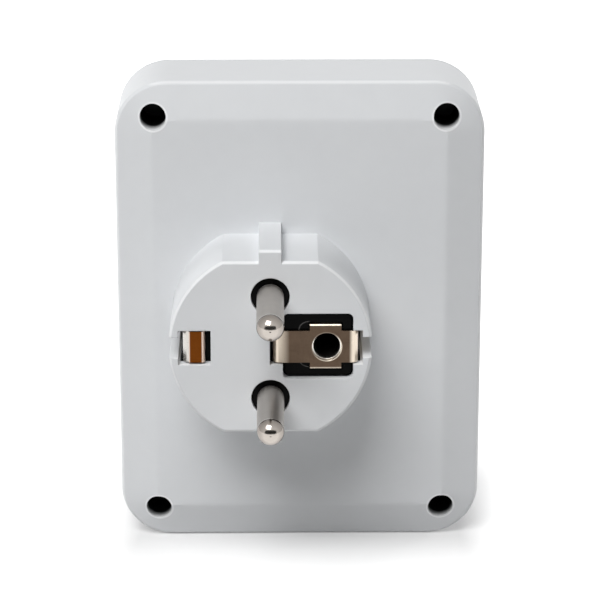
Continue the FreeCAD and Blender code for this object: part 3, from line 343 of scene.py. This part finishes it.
def link_copper():
    """Dull copper, with painted highlights on the bent sides of the part that shows in the left slot."""
    link = plated_metal("link_copper", (0.15, 0.043, 0.006), (0.095, 0.025, 0.003), 0.38, ALONG_Y)
    base = link.fed("Base Color")
    # Painted highlight: the strap's bent sides near the front are painted pale.
    pale_side_highlight = (link.axis("X") + 13.25).size().rise(1.0, 1.12) * (1 - link.axis("Y").rise(2.0, 2.6))
    link.feed("Base Color", link.mix(pale_side_highlight, base, (0.62, 0.5, 0.42)))
    return link


link_copper().paint("earth_link")
plated_metal("contact_brass", (0.86, 0.66, 0.30), (0.62, 0.44, 0.17), 0.28, ALONG_Z).paint(
    "round_contact_line", "round_contact_neutral", "flat_contact_upper_outer", "flat_contact_upper_inner",
    "flat_contact_lower_inner", "flat_contact_lower_outer", "line_busbar", "neutral_busbar")
# Partly painted shade: the casing screws are near black, a guessed black finish that also stands in for the shade deep
# in their wells.
plated_metal("black_screw_and_well_shade", (0.035, 0.035, 0.037), (0.015, 0.015, 0.016), 0.5, ALONG_Y).paint("casing_screws")
spring_steel = plated_metal("spring_steel", (0.58, 0.59, 0.60), (0.34, 0.34, 0.35), 0.25, ALONG_Z)
spring_steel.paint("round_shutter_spring", "flat_spring_upper", "flat_spring_lower")


def put_in_mesh(piece):
    """Move a piece's place, turn and scale into its mesh."""
    bpy.ops.object.select_all(action="DESELECT")
    piece.select_set(True)
    bpy.context.view_layer.objects.active = piece
    bpy.ops.object.transform_apply(location=True, rotation=True, scale=True)


def spring(name, node, body, across, along, low, high, coil, wire, turns):
    """A coil of round wire between two levels, in place of a rod of the CAD."""
    bpy.ops.object.select_all(action="DESELECT")
    bpy.ops.mesh.primitive_circle_add(vertices=10, radius=wire * MM, fill_type="NOTHING",
                                      location=((across + coil) * MM, along * MM, low * MM),
                                      rotation=(math.pi / 2, 0, 0))
    piece = bpy.context.object
    piece.name = name
    bpy.ops.object.transform_apply(location=False, rotation=True, scale=True)
    bpy.ops.object.mode_set(mode="EDIT")
    bpy.ops.mesh.select_all(action="SELECT")
    bpy.ops.transform.translate(value=(coil * MM, 0, wire * MM))
    bpy.ops.object.mode_set(mode="OBJECT")
    piece.location.x -= coil * MM
    wind = piece.modifiers.new("wind", "SCREW")
    wind.angle = 2 * math.pi * turns
    wind.screw_offset = (high - low - 2 * wire) * MM
    wind.steps = wind.render_steps = int(18 * turns)
    wind.use_merge_vertices = False
    bpy.ops.object.modifier_apply(modifier=wind.name)
    bpy.ops.object.mode_set(mode="EDIT")
    bpy.ops.mesh.select_all(action="DESELECT")
    bpy.ops.mesh.select_non_manifold()
    bpy.ops.mesh.edge_face_add()
    bpy.ops.mesh.select_all(action="SELECT")
    bpy.ops.mesh.normals_make_consistent(inside=False)
    bpy.ops.object.mode_set(mode="OBJECT")
    put_in_mesh(piece)
    bpy.ops.object.shade_smooth_by_angle(angle=math.radians(50))
    piece.data.materials.append(spring_steel.material)
    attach(piece, body)
    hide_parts(node)
    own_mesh(piece)
    return piece


spring("round_shutter_coil", "round_shutter_spring", "casing",
       across=-7.5, along=26.5, low=1.0, high=9.0, coil=0.72, wire=0.14, turns=9)
spring("upper_shutter_coil", "flat_spring_upper", "casing",
       across=31.7, along=35.8, low=16.2, high=27.2, coil=0.55, wire=0.13, turns=12)
spring("lower_shutter_coil", "flat_spring_lower", "casing",
       across=31.7, along=35.8, low=-27.2, high=-16.2, coil=0.55, wire=0.13, turns=12)


def stage_material():
    """Pale to the light; to the camera and in reflections it glows, more so away from the part's foot, so the floor
    near the foot is greyer: a painted shadow on top of the real one.
    """
    pale = Finish("studio_white", Base_Color=(0.58, 0.58, 0.58, 1), Roughness=1.0, Emission_Strength=1.0)
    pale.shader.inputs["Specular IOR Level"].default_value = 0.0
    beside = (pale.axis("X") - CASING_MIDDLE).size() - 33.0
    before = (pale.axis("Y") - 28.0).size() - 10.0
    # Painted shadow: the glow is weaker near the part's foot, so the floor is greyer there.
    away = beside.rise(-3.0, 9.0).reach(before.rise(0.0, 34.0)).at_most(1.0)
    glow = away * 0.71 + 0.29
    seen = pale.node("LightPath", output="Is Camera Ray").at_least(pale.node("LightPath", output="Is Glossy Ray"))
    channels = {name: glow * seen for name in ("Red", "Green", "Blue")}
    pale.feed("Emission Color", pale.node("CombineColor", inputs=channels))
    return pale.material


def stage():
    """A pale floor with the part's real shadow and a painted shadow near the part, white further out."""
    bpy.ops.object.select_all(action="DESELECT")
    bpy.ops.mesh.primitive_plane_add(size=6, location=(0, 0, (-HALF_HEIGHT - 0.05) * MM))
    floor = bpy.context.object
    floor.name = "studio_floor"
    put_in_mesh(floor)
    floor.data.materials.append(stage_material())


stage()


def lamp(name, place, energy, size):
    """A rectangular lamp that is aimed at the part."""
    data = bpy.data.lights.new(name, "AREA")
    data.energy = energy
    data.shape = "RECTANGLE"
    data.size, data.size_y = size
    lamp_object = bpy.data.objects.new(name, data)
    bpy.context.scene.collection.objects.link(lamp_object)
    lamp_object.location = Vector(place)
    direction = Vector((0.005, 0.02, 0.0)) - Vector(place)
    lamp_object.rotation_euler = direction.to_track_quat("-Z", "Y").to_euler()
    return lamp_object


lamp("key_overhead", (-0.66, -1.25, 1.97), 52.5, (1.6, 1.35))
lamp("back_right", (1.55, 1.15, 0.28), 15.0, (0.6, 0.5)).visible_glossy = False
lamp("back_left", (-1.55, 1.15, 0.28), 12.0, (0.6, 0.5)).visible_glossy = False


def dark_card():
    """A dark card behind the camera that only shiny surfaces show."""
    bpy.ops.object.select_all(action="DESELECT")
    bpy.ops.mesh.primitive_plane_add(size=0.42, location=(0.0, -0.62, 0.16), rotation=(math.pi / 2, 0, 0))
    card = bpy.context.object
    card.name = "dark_card"
    card.scale = (3.4, 1.0, 1.0)
    put_in_mesh(card)
    card.visible_camera = False
    card.visible_diffuse = False
    card.visible_shadow = False
    card.visible_transmission = False
    felt = Finish("dark_card_felt", Roughness=1.0, Base_Color=(0.05, 0.05, 0.05, 1.0))
    card.data.materials.append(felt.material)


dark_card()

# The world: little light on the part, and white to the camera and in reflections
AMBIENT = 0.06
world = bpy.data.worlds.new("studio_air")
bpy.context.scene.world = world
world.use_nodes = True
air = world.node_tree
background = air.nodes["Background"]
path = air.nodes.new("ShaderNodeLightPath")
seen = air.nodes.new("ShaderNodeMath")
seen.operation = "MAXIMUM"
air.links.new(path.outputs["Is Camera Ray"], seen.inputs[0])
air.links.new(path.outputs["Is Glossy Ray"], seen.inputs[1])
level = air.nodes.new("ShaderNodeMath")
level.operation = "MULTIPLY_ADD"
level.inputs[1].default_value = 1 - AMBIENT
level.inputs[2].default_value = AMBIENT
air.links.new(seen.outputs[0], level.inputs[0])
air.links.new(level.outputs[0], background.inputs["Strength"])
background.inputs["Color"].default_value = (1, 1, 1, 1)

# The camera, fitted to the photograph without a shift of its lens
camera_data = bpy.data.cameras.new("photo_camera")
camera_data.sensor_width = 36
camera_data.lens = 166.53
camera = bpy.data.objects.new("photo_camera", camera_data)
bpy.context.scene.collection.objects.link(camera)
camera.location = (0.000473, -0.46478, 0.162342)
camera.rotation_euler = (math.radians(90 - 18.266), 0, math.radians(-0.588))
camera_data.clip_start = 0.01
camera_data.clip_end = 20
bpy.context.scene.camera = camera
bpy.context.scene.view_settings.view_transform = "Standard"
